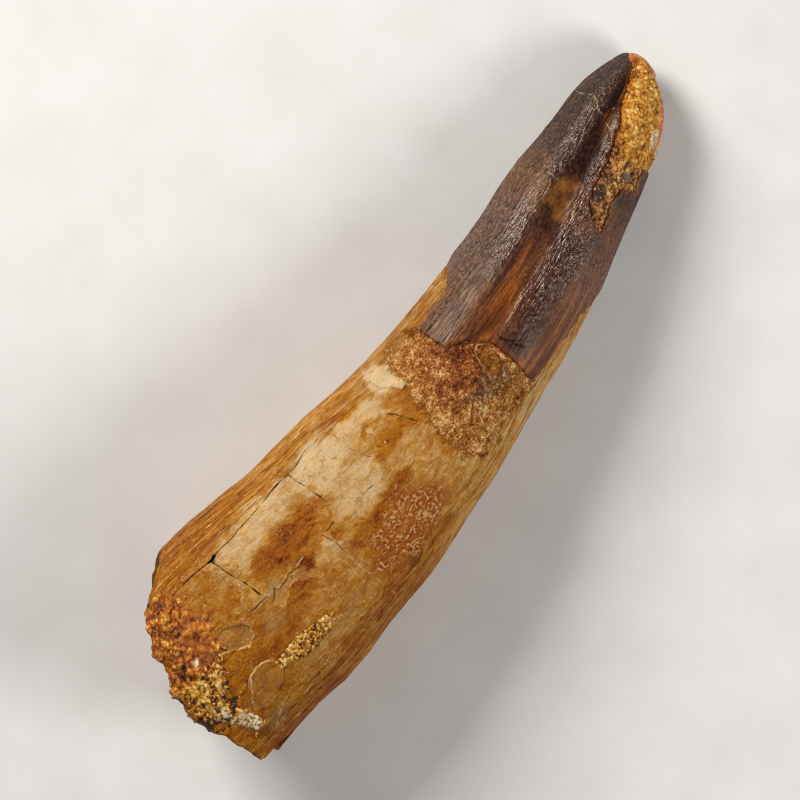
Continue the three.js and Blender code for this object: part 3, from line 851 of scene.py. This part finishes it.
def end_fields(point, angle):
    """The end's crust is orange-brown in its upper part and ochre below, with a whitish streak near its
    foot."""
    x, y = point[:, 0], point[:, 1]
    wave = 0.5 * noise(point * 0.8, 125)
    wavy = point[:, :2] + 0.6 * wave[:, None] + 0.25 * noise(point * 2.5, 126)[:, None]
    streak = in_oval(wavy, WHITISH_STREAK, 0.7, 1.2)
    light = 0.27 * streak - 0.05 * smooth(0.5, 2.0, y)
    # Some of these spots are painted shade between the nodules.
    for *place, lighter in END_SPOTS:
        light += lighter * in_oval(wavy, place, 0.5, 1.3)
    return {
        "rust": smooth(0.2, 2.2, y + wave + 0.5 * (x + 27)),
        "grey": 0.65 * streak,
        "smooth": 0.6 * smooth(-26.6, -25.4, x + wave) * smooth(5.6, 4.4, y) * smooth(0.6, 1.4, y),
        "light": light,
        "pitted": 0.2 + 0.8 * smooth(2.0, 0.5, y),
        "white": in_oval(point[:, :2], WHITE_CHIP, 0.8, 1.1),
    }


def make_end_sandstone():
    rows = spaced((at_x(-20.5), 1, 92), (1, 2, 62))
    columns = spaced((-10, 190, 235))
    layers = [(0.95, 0.35, 0.32), (0.55, 0.45, 0.2), (0.28, 0.5, 0.08)]
    return crust_piece("root_end_sand", rows, columns, end_crust_distance, end_fields, layers, 121, 0.26,
                       edge=1.6, sunk=0.2, ragged=0.42)


def pit_fields(point, angle):
    even = np.ones(len(angle))
    return {"rust": 0.1 * even, "smooth": 0 * even, "light": 0.1 * even, "pitted": 0.8 * even}


def make_pit_sandstone():
    rows = spaced((at_x(-16.0), at_x(-23.2), 105))
    columns = spaced((92, 145, 90))
    layers = [(0.3, 0.8, 0.13), (0.18, 0.5, 0.05)]
    return crust_piece("pit_sand", rows, columns, pit_distance, pit_fields, layers, 141, 0.02)


# ---------------------------------------------------------------- node tools
def srgb(red, green, blue):
    """A colour given as it looks on a screen, 0 to 255, as the linear one that nodes use."""
    parts = [c / 255 for c in (red, green, blue)]
    linear = [c / 12.92 if c <= 0.04045 else ((c + 0.055) / 1.055) ** 2.4 for c in parts]
    return (*linear, 1.0)


class Paint:
    """A material's node tree, with short calls for the nodes that the materials here use. A value in a call
    is a number, a node's output or a field's name. A field that a mesh hasn't got counts as 0."""

    def __init__(self, name):
        self.material = bpy.data.materials.new(name)
        self.material.use_nodes = True
        self.tree = self.material.node_tree
        self.shader = self.tree.nodes["Principled BSDF"]

    def node(self, kind, inputs, output=0, **settings):
        made = self.tree.nodes.new(kind)
        for key, value in settings.items():
            setattr(made, key, value)
        for key, value in inputs.items():
            self.set(made, key, value)
        return made.outputs[output]

    def set(self, made, key, value):
        if isinstance(value, str):
            value = self.node("ShaderNodeAttribute", {}, "Fac", attribute_name=value)
        if isinstance(value, bpy.types.NodeSocket):
            self.tree.links.new(value, made.inputs[key])
        else:
            made.inputs[key].default_value = value

    def flow(self, along, across):
        """Flow coordinates scaled for features of these lengths."""
        flow = self.node("ShaderNodeAttribute", {}, "Vector", attribute_name="flow")
        scale = (1 / along, 1 / across, 1 / across)
        return self.node("ShaderNodeVectorMath", {0: flow, 1: scale}, operation="MULTIPLY")

    def place(self, size, length=None):
        """Places on the piece scaled for features of this size, and of this length along X."""
        spot = self.node("ShaderNodeTexCoord", {}, "Object")
        scale = (1 / (length or size) / MM, 1 / size / MM, 1 / size / MM)
        return self.node("ShaderNodeVectorMath", {0: spot, 1: scale}, operation="MULTIPLY")

    def noise(self, size, detail, roughness, distortion=0.0, length=None):
        """Noise with features of this size, and of this length along X. For noise that follows the tooth's
        grain, the size is a pair: length along the grain and width across it."""
        vector = self.flow(*size) if isinstance(size, tuple) else self.place(size, length)
        inputs = {"Vector": vector, "Scale": 1.0, "Detail": detail, "Roughness": roughness,
                  "Distortion": distortion}
        return self.node("ShaderNodeTexNoise", inputs)

    def packed_grains(self, size):
        """Grains of this size, packed close: how far each place is from its grain's middle, and the grain's
        own shade."""
        bend = 0.8
        inputs = {"Vector": self.place(bend * size), "Scale": 1.0, "Detail": 1.0}
        wobble = self.node("ShaderNodeTexNoise", inputs, "Color")
        inputs = {0: wobble, 1: (bend, bend, bend), 2: self.place(size)}
        spot = self.node("ShaderNodeVectorMath", inputs, operation="MULTIPLY_ADD")
        inputs = {"Vector": spot, "Scale": 1.0}
        return self.node("ShaderNodeTexVoronoi", inputs), self.node("ShaderNodeTexVoronoi", inputs, "Color")

    def math(self, operation, *values, clamp=False):
        return self.node("ShaderNodeMath", dict(enumerate(values)), operation=operation, use_clamp=clamp)

    def times(self, a, b):
        return self.math("MULTIPLY", a, b)

    def add(self, a, b, clamp=False):
        return self.math("ADD", a, b, clamp=clamp)

    def plus(self, base, *weighted):
        """base plus the sum of (value, weight) pairs."""
        total = base
        for value, weight in weighted:
            total = self.math("MULTIPLY_ADD", value, weight, total)
        return total

    def swing(self, base, *weighted):
        """base plus the sum of (value, weight) pairs, where each value swings about 0.5."""
        return self.plus(base, *((self.math("SUBTRACT", value, 0.5), weight) for value, weight in weighted))

    def spread(self, value, low, high, to_low=0.0, to_high=1.0):
        """to_low at low and before it, to_high at high and past it, and a soft S between them."""
        inputs = {"Value": value, "From Min": low, "From Max": high, "To Min": to_low, "To Max": to_high}
        return self.node("ShaderNodeMapRange", inputs, interpolation_type="SMOOTHSTEP")

    def blend(self, share, a, b):
        return self.node("ShaderNodeMix", {0: share, 2: a, 3: b})

    def mix(self, share, a, b):
        """Like blend, for colours."""
        return self.node("ShaderNodeMix", {0: share, 6: a, 7: b}, 2, data_type="RGBA")

    def cover(self, colour, layer, share, also=None):
        """Lays a screen colour over another one by a share, or by the product of two."""
        return self.mix(share if also is None else self.times(share, also), colour, srgb(*layer))

    def ramp(self, value, stops):
        """Colours along a value, from stops of (place, red, green, blue)."""
        made = self.tree.nodes.new("ShaderNodeValToRGB")
        elements = made.color_ramp.elements
        while len(elements) < len(stops):
            elements.new(1.0)
        for element, (place, *colour) in zip(elements, stops):
            element.position = place
            element.color = srgb(*colour)
        self.tree.links.new(value, made.inputs[0])
        return made.outputs[0]

    def finish(self, colour, roughness, height, relief, shine):
        """Joins colour and roughness to the shader, and bumps it by `height` times `relief` millimetres."""
        bump = {"Height": height, "Distance": relief * MM, "Strength": 1.0}
        self.set(self.shader, "Normal", self.node("ShaderNodeBump", bump))
        self.set(self.shader, "Base Color", colour)
        self.set(self.shader, "Roughness", roughness)
        self.set(self.shader, "Specular IOR Level", shine)
        return self.material


# ---------------------------------------------------------------- colours, as they look on a screen
DUST_VEIL = (162, 126, 78)
DARK_SLIT = (70, 34, 8)
PALE_CURL = (212, 166, 100)
PALE_THREAD = (222, 186, 134)
RUSTY_DAB = (160, 92, 26)
PALE_LINE = (226, 176, 108)
RUSTY_LINE = (134, 56, 12)
PALE_SPECK = (228, 190, 126)
DARK_PORE = (86, 44, 10)
SHADED_EDGE = (66, 34, 10)
LIT_EDGE = (222, 180, 116)
CRACK_SHADOW = (40, 20, 6)
CRACK_FILLING = (204, 174, 126)
ENAMEL_DUST = (158, 126, 90)
CHALK = (176, 152, 108)
WHITE_STONE = (246, 226, 196)
ENAMEL_GLOSS = (1.0, 0.83, 0.7, 1.0)  # the tint of its reflections, linear
# Ramps of colour: place, red, green, blue.
BROWN_DENTINE = [
    (0.0, 214, 184, 144), (0.15, 200, 162, 112), (0.3, 182, 134, 72), (0.45, 165, 108, 34),
    (0.6, 154, 88, 16), (0.75, 134, 64, 8), (0.88, 100, 44, 5), (1.0, 62, 26, 3),
]
YELLOW_DENTINE = [
    (0.0, 226, 190, 136), (0.22, 206, 154, 74), (0.45, 179, 115, 20), (0.65, 153, 87, 9), (0.85, 116, 56, 3),
    (1.0, 72, 32, 2),
]
REDDENED_DENTINE = [(0.2, 176, 106, 34), (0.5, 142, 66, 18), (0.85, 92, 38, 10)]
REDDISH_BAND = [
    (0.0, 48, 18, 8), (0.25, 90, 42, 18), (0.5, 136, 74, 34), (0.7, 170, 100, 48), (0.88, 206, 146, 86),
    (1.0, 232, 194, 142),
]
ORANGE_BAND = [
    (0.0, 54, 24, 6), (0.3, 114, 60, 16), (0.55, 166, 98, 36), (0.8, 206, 152, 84), (1.0, 234, 198, 138),
]
GREYISH_BAND = [(0.0, 44, 30, 18), (0.4, 92, 70, 46), (0.7, 134, 108, 74), (1.0, 226, 200, 158)]
PLAIN_ENAMEL = [
    (0.0, 26, 6, 3), (0.2, 40, 16, 9), (0.42, 66, 40, 31), (0.62, 94, 66, 52), (0.8, 122, 92, 70),
    (1.0, 152, 122, 94),
]
RUSTY_ENAMEL = [(0.1, 40, 14, 6), (0.35, 78, 36, 12), (0.6, 118, 60, 18), (0.9, 168, 98, 36)]
OCHRE_ENAMEL = [(0.1, 62, 30, 10), (0.4, 96, 54, 18), (0.65, 128, 78, 30), (1.0, 170, 118, 60)]
GOLDEN_SAND = [
    (0.0, 54, 26, 4), (0.2, 128, 72, 8), (0.4, 188, 118, 18), (0.6, 218, 150, 38), (0.8, 236, 184, 82),
    (1.0, 248, 218, 150),
]
RUSTY_SAND = [
    (0.0, 48, 20, 2), (0.2, 112, 52, 2), (0.42, 166, 86, 6), (0.62, 200, 118, 20), (0.85, 234, 174, 70),
    (1.0, 248, 212, 140),
]
WHITISH_SAND = [(0.0, 60, 44, 26), (0.35, 150, 124, 86), (0.7, 212, 192, 158), (1.0, 244, 232, 206)]
FLOOR_GREY = [(0.3, 226, 224, 220), (0.7, 234, 232, 229)]


# ---------------------------------------------------------------- materials
def dentine_colour(paint):
    """Cream to dark brown along "stain", with fibres, ragged patches and fine specks. Also gives its level of
    darkness."""
    patches = paint.noise((3.4, 1.9), 12, 0.72, 0.5)
    clots = paint.noise((1.3, 0.5), 8, 0.72, 0.4)
    grains = paint.noise((0.6, 0.13), 3, 0.6, 0.2)
    specks = paint.noise(0.19, 3, 0.65)
    fibres = paint.noise((2.2, 0.12), 5, 0.65)
    streaks = paint.noise((5.0, 0.45), 6, 0.62)
    blots = paint.spread(paint.noise((1.5, 0.8), 5, 0.6, 0.8), 0.46, 0.56)
    off_cream = paint.spread("stain", 0.0, 0.5, 0.45, 1.0)
    level = "stain"
    for value, weight in ((patches, 0.55), (clots, 0.55), (blots, 0.16), (grains, 0.4), (specks, 0.6)):
        level = paint.swing(level, (value, paint.times(off_cream, weight)))
    level = paint.swing(level, (fibres, paint.spread("streak", 0, 1, 0.25, 1.25)),
                        (streaks, paint.spread("streak", 0, 1, 0.1, 0.6)))
    level = paint.add(level, 0.03)
    golden = paint.spread(paint.noise(1.1, 5, 0.65), 0.48, 0.62, 0.0, 0.6)
    golden = paint.add("ochre", golden, clamp=True)
    colour = paint.mix(golden, paint.ramp(level, BROWN_DENTINE), paint.ramp(level, YELLOW_DENTINE))
    colour = paint.cover(colour, DUST_VEIL, "veil", paint.spread(clots, 0.4, 0.6, 0.35, 1.0))
    colour = with_slits(paint, colour)
    colour = with_mottle(paint, colour, patches, clots, grains)
    colour = with_threads(paint, colour, patches, clots)
    colour = paint.cover(colour, PALE_SPECK, paint.spread(paint.noise(0.1, 2, 0.5), 0.66, 0.72, 0.0, 0.32))
    pores = paint.spread(paint.noise(0.13, 2, 0.5), 0.35, 0.29, 0.0, 0.6)
    return paint.cover(colour, DARK_PORE, pores), level


def with_slits(paint, colour):
    """Dark slits along the grain, in clusters on the flanks."""
    slits = paint.spread(paint.noise((1.7, 0.11), 2.5, 0.5, 0.2), 0.45, 0.37)
    clusters = paint.spread(paint.noise(3.5, 3, 0.5), 0.42, 0.58, 0.1, 0.75)
    clusters = paint.times(clusters, paint.spread("stain", 0.05, 0.3))
    return paint.cover(colour, DARK_SLIT, paint.times(slits, "streak"), clusters)


def with_mottle(paint, colour, patches, clots, grains):
    """The reddish patch with pale curls on it."""
    mottle = paint.spread(paint.swing("mottle", (patches, 1.3), (clots, 0.7)), 0.2, 0.85)
    curls = paint.add(paint.noise((0.24, 0.17), 2.5, 0.55, 0.3), paint.spread(clots, 0.4, 0.6, -0.1, 0.04))
    curls = paint.times(paint.spread(curls, 0.5, 0.57), mottle)
    reddened = paint.ramp(paint.swing(0.5, (clots, 1.6), (grains, 1.0)), REDDENED_DENTINE)
    colour = paint.mix(paint.times(mottle, 0.85), colour, reddened)
    return paint.cover(colour, PALE_CURL, curls, 0.75)


def with_threads(paint, colour, patches, clots):
    """Thin pale lines and rusty dabs, as flakes and fine cracks leave them, and lines along the flanks."""
    thread = paint.math("SUBTRACT", paint.noise((2.4, 1.3), 3, 0.55, 0.6), 0.5)
    thread = paint.spread(paint.math("ABSOLUTE", thread), 0.009, 0.003)
    thread = paint.times(thread, paint.spread(clots, 0.5, 0.58))
    colour = paint.cover(colour, PALE_THREAD, thread, 0.6)
    dabs = paint.spread(paint.noise((0.42, 0.24), 2, 0.6, 0.5), 0.6, 0.65)
    dabs = paint.times(dabs, paint.spread(patches, 0.48, 0.55))
    colour = paint.cover(colour, RUSTY_DAB, dabs, 0.6)

    lines = paint.noise((2.2, 0.26), 5, 0.72, 0.3)
    lined = paint.times("streak", paint.spread("stain", 0.05, 0.3))
    pale = paint.times(lined, paint.spread(patches, 0.5, 0.4, 0.15, 0.8))
    colour = paint.cover(colour, PALE_LINE, pale, paint.spread(lines, 0.56, 0.63))
    rusty = paint.times(lined, paint.spread(patches, 0.42, 0.53, 0.15, 0.85))
    return paint.cover(colour, RUSTY_LINE, rusty, paint.spread(lines, 0.44, 0.37))


def with_plate_edges(paint, colour):
    """A plate's edge catches the light on one side and is dark on the other."""
    edge = paint.mix("plate_lit", srgb(*SHADED_EDGE), srgb(*LIT_EDGE))
    shown = paint.spread(paint.noise(0.5, 3, 0.6), 0.42, 0.54, 0.1, 0.85)
    shown = paint.times(shown, paint.spread("plate_edge", 0.08, 0.02))
    return paint.mix(shown, colour, edge)


def band_colour(paint):
    """The rough band below the crown: reddish brown with dark and sandy grains."""
    clumps = paint.noise(1.8, 8, 0.7, 0.3)
    grit = paint.noise(0.13, 3, 0.65)
    specks = paint.noise(0.34, 2, 0.6, 0.4)
    level = paint.swing(0.55, (clumps, 1.8), (grit, 1.7), (specks, 0.8))
    level = paint.add(level, paint.spread("crumb", 0, 0.8, -0.07, 0.11))
    level = paint.plus(level, ("ochre", 0.1))
    turns = paint.spread(paint.swing("ochre", (paint.noise(1.3, 5, 0.65), 2.4)), 0.2, 1.0, 0.0, 0.9)
    colour = paint.mix(turns, paint.ramp(level, REDDISH_BAND), paint.ramp(level, ORANGE_BAND))
    dulled = paint.times("veil", paint.spread(specks, 0.35, 0.6, 0.4, 1.0))
    return paint.mix(dulled, colour, paint.ramp(level, GREYISH_BAND))


def enamel_colour(paint):
    """Maroon to greyish brown along "tone", rusty and ochre where the enamel is thin, with dust and chalk."""
    streaks = paint.noise((4.5, 0.4), 6, 0.62)
    veins = paint.noise((1.4, 0.14), 5, 0.65)
    bands = paint.noise((5.0, 0.6), 3, 0.5)
    clouds = paint.noise(1.0, 8, 0.7)
    grit = paint.noise(0.22, 3, 0.7, length=0.3)
    level = paint.swing("tone", (streaks, 0.24), (veins, 0.34), (clouds, 0.26),
                        (grit, paint.spread("facet", 0, 1, 1.5, 2.3)))
    glow = paint.swing(0.57, (bands, 1.2), (streaks, 0.9), (veins, 1.0), (grit, 0.4))
    colour = paint.mix("rusty", paint.ramp(level, PLAIN_ENAMEL), paint.ramp(glow, RUSTY_ENAMEL))
    ochre = paint.ramp(paint.swing(0.56, (clouds, 1.4), (veins, 0.8), (grit, 0.6)), OCHRE_ENAMEL)
    colour = paint.mix("stripe", colour, ochre)
    colour = paint.cover(colour, ENAMEL_DUST, "dusty", paint.spread(veins, 0.46, 0.62, 0.0, 0.8))
    return paint.cover(colour, CHALK, "chalk", paint.spread(grit, 0.42, 0.58, 0.3, 1.0))


def with_cracks(paint, colour):
    broken = paint.noise(0.6, 4, 0.6)
    crack = paint.add("crack", paint.spread(broken, 0.35, 0.65, -0.02, 0.03))
    colour = paint.cover(colour, CRACK_SHADOW, paint.spread(crack, 0.02, -0.02, 0.0, 0.92))
    filled = paint.add("filled", paint.spread(broken, 0.4, 0.62, -0.01, 0.07))
    return paint.cover(colour, CRACK_FILLING, paint.spread(filled, 0.03, -0.03, 0.0, 0.56))


def tooth_material():
    """Dentine, with the rough band and the enamel over it."""
    paint = Paint("tooth")
    dentine, level = dentine_colour(paint)
    grit = paint.noise(0.24, 2.5, 0.65)
    band = paint.spread(paint.swing("band", (grit, 1.6)), 0.3, 0.7)
    crown = paint.spread("enamel", -0.04, 0.03)
    colour = with_plate_edges(paint, paint.mix(band, dentine, band_colour(paint)))
    colour = with_cracks(paint, paint.mix(crown, colour, enamel_colour(paint)))

    # Heights in millimetres.
    grain = paint.noise((1.2, 0.13), 5, 0.65)
    height = paint.swing(0.0, (grain, paint.spread("streak", 0, 1, 0.03, 0.16)), (grit, 0.13))
    height = paint.blend(band, height, paint.times(paint.noise(0.26, 4, 0.7), 0.24))
    wrinkle = paint.noise(0.17, 1.8, 0.5, 0.15, length=1.5)
    folds = paint.times(wrinkle, paint.spread("wrinkled", 0, 1, 0.03, 0.15))
    folds = paint.plus(folds, (grit, paint.spread("facet", 0, 1, 0.04, 0.26)))
    height = paint.blend(crown, height, folds)

    rough = paint.blend(band, paint.spread(level, 0.1, 0.8, 0.42, 0.58), 0.65)
    polish = paint.plus(paint.spread("facet", 0, 1, 0.26, 0.36), ("dull", 0.2), ("dusty", 0.26))
    rough = paint.blend(crown, rough, paint.swing(polish, (grit, 0.12)))
    shine = paint.blend(crown, 0.12, paint.plus(0.62, ("dull", -0.4), ("dusty", -0.3)))
    paint.set(paint.shader, "Specular Tint", ENAMEL_GLOSS)
    return paint.finish(colour, rough, height, 1.0, shine)


def sand_material():
    """Cemented grains, golden or rusty or whitish, with painted shade between the grains, in the low
    places of the lumps and in painted holes where the crust is pitted, and painted light on raised grains.
    """
    paint = Paint("sandstone")
    clumps = paint.noise(0.8, 6, 0.66)
    grit = paint.noise(0.14, 4, 0.68)
    apart, shade = paint.packed_grains(0.27)
    busy = paint.times(paint.spread("smooth", 0, 1, 1.0, 0.25), paint.spread("pitted", 0.2, 1, 0.68, 1.0))
    # Each grain is darker away from its middle: painted shade between the grains.
    single = paint.swing(0.0, (grit, 1.2), (apart, -0.8), (shade, 0.6))
    level = paint.plus(paint.swing(0.57, (clumps, 1.3)), (single, busy))
    level = paint.swing(level, ("tint", 0.4))
    # Dark holes where the crust is pitted: painted shade, with no hole in the mesh.
    holes = paint.times(paint.spread(paint.noise(0.42, 2, 0.6, 0.5), 0.43, 0.36), "pitted")
    level = paint.plus(level, (holes, -0.5))
    # Painted light on the mesh's raised grains and painted shade around them.
    relief = paint.spread("raised", 0, 0.8, -0.18, 0.13)
    level = paint.add(level, paint.times(relief, paint.spread("pitted", 0.2, 1, 0.8, 1.45)))
    # "light" holds, among others, the end's spots, some of which are painted shade between nodules.
    level = paint.add(level, "light")
    # Painted shade in the low places of the crust's lumps.
    depth = paint.spread("hollow", -0.6, 0.1, -0.3, 0.0)
    level = paint.plus(level, (depth, paint.spread("pitted", 0.1, 1, 0.3, 1.0)))
    colour = paint.mix("rust", paint.ramp(level, GOLDEN_SAND), paint.ramp(level, RUSTY_SAND))
    colour = paint.mix("grey", colour, paint.ramp(level, WHITISH_SAND))
    colour = paint.cover(colour, WHITE_STONE, "white")
    height = paint.times(paint.swing(0.0, (grit, 0.16), (apart, -0.12)), busy)
    return paint.finish(colour, paint.spread("smooth", 0, 1, 0.6, 0.4), height, 1.0, 0.35)


def floor_material():
    """A plain off-white ground."""
    paint = Paint("floor")
    fibre = paint.noise(6.0, 5, 0.5)
    return paint.finish(paint.ramp(fibre, FLOOR_GREY), 0.85, fibre, 0.02, 0.2)


# ---------------------------------------------------------------- stage, light and camera
VIEW_TURN = -56.5  # the photo's upward direction, turned about Z from +Y
LOOK_AT = (-1.43, 0.24, 6.0)
FRAME_SIDE = 59.93  # what the square picture spans at that height
LENS = 500.0
SENSOR = 36.0
CLIP_START = 0.01  # metres
FLOOR_REACH = 1  # metres
LIGHT_AIM = (0, 0, 5)
# Lights: name, place, size, watts, colour.
LIGHTS = [
    ("key", (50, 205, 160), 110, 0.76, (1.0, 0.98, 0.95)),
    ("fill", (45, -210, 150), 90, 0.38, (1.0, 1.0, 1.0)),
]
SKY_COLOUR = (0.95, 0.97, 1.0, 1.0)
SKY_STRENGTH = 0.1
PIXEL_FILTER = 1.1


def add_floor():
    mesh = bpy.data.meshes.new("floor")
    corners = [(-1, -1), (1, -1), (1, 1), (-1, 1)]
    mesh.from_pydata([(x * FLOOR_REACH, y * FLOOR_REACH, 0) for x, y in corners], [], [(0, 1, 2, 3)])
    mesh.materials.append(floor_material())
    new_object("floor", mesh)


def add_light(name, place, size, power, colour):
    lamp = bpy.data.lights.new(name, "AREA")
    lamp.size = size * MM
    lamp.energy = power
    lamp.color = colour
    light = new_object(name, lamp)
    light.location = Vector(place) * MM
    light.rotation_euler = (Vector(LIGHT_AIM) - Vector(place)).to_track_quat("-Z", "Y").to_euler()


def add_camera():
    camera = new_object("camera", bpy.data.cameras.new("camera"))
    camera.data.lens = LENS
    camera.data.sensor_width = SENSOR
    camera.data.clip_start = CLIP_START
    height = FRAME_SIDE * LENS / SENSOR
    place = Matrix.Translation((Vector(LOOK_AT) + Vector((0, 0, height))) * MM)
    camera.matrix_world = place @ Matrix.Rotation(math.radians(VIEW_TURN), 4, "Z")
    bpy.context.scene.camera = camera


def add_world():
    world = bpy.data.worlds.new("studio")
    world.use_nodes = True
    sky = world.node_tree.nodes["Background"]
    sky.inputs["Color"].default_value = SKY_COLOUR
    sky.inputs["Strength"].default_value = SKY_STRENGTH
    bpy.context.scene.world = world


# ---------------------------------------------------------------- the scene
def place_piece(piece, node, material):
    piece.data.materials.append(material)
    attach(piece, "root")
    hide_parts(node)


add_camera()
add_floor()
add_world()
for light in LIGHTS:
    add_light(*light)
bpy.context.scene.view_settings.view_transform = "Standard"
bpy.context.scene.cycles.filter_width = PIXEL_FILTER

sand = sand_material()
place_piece(make_tooth(), "tooth", tooth_material())
place_piece(make_tip_sandstone(), "tip_sandstone", sand)
place_piece(make_end_sandstone(), "root_end_sandstone", sand)
place_piece(make_pit_sandstone(), "pit_sandstone", sand)
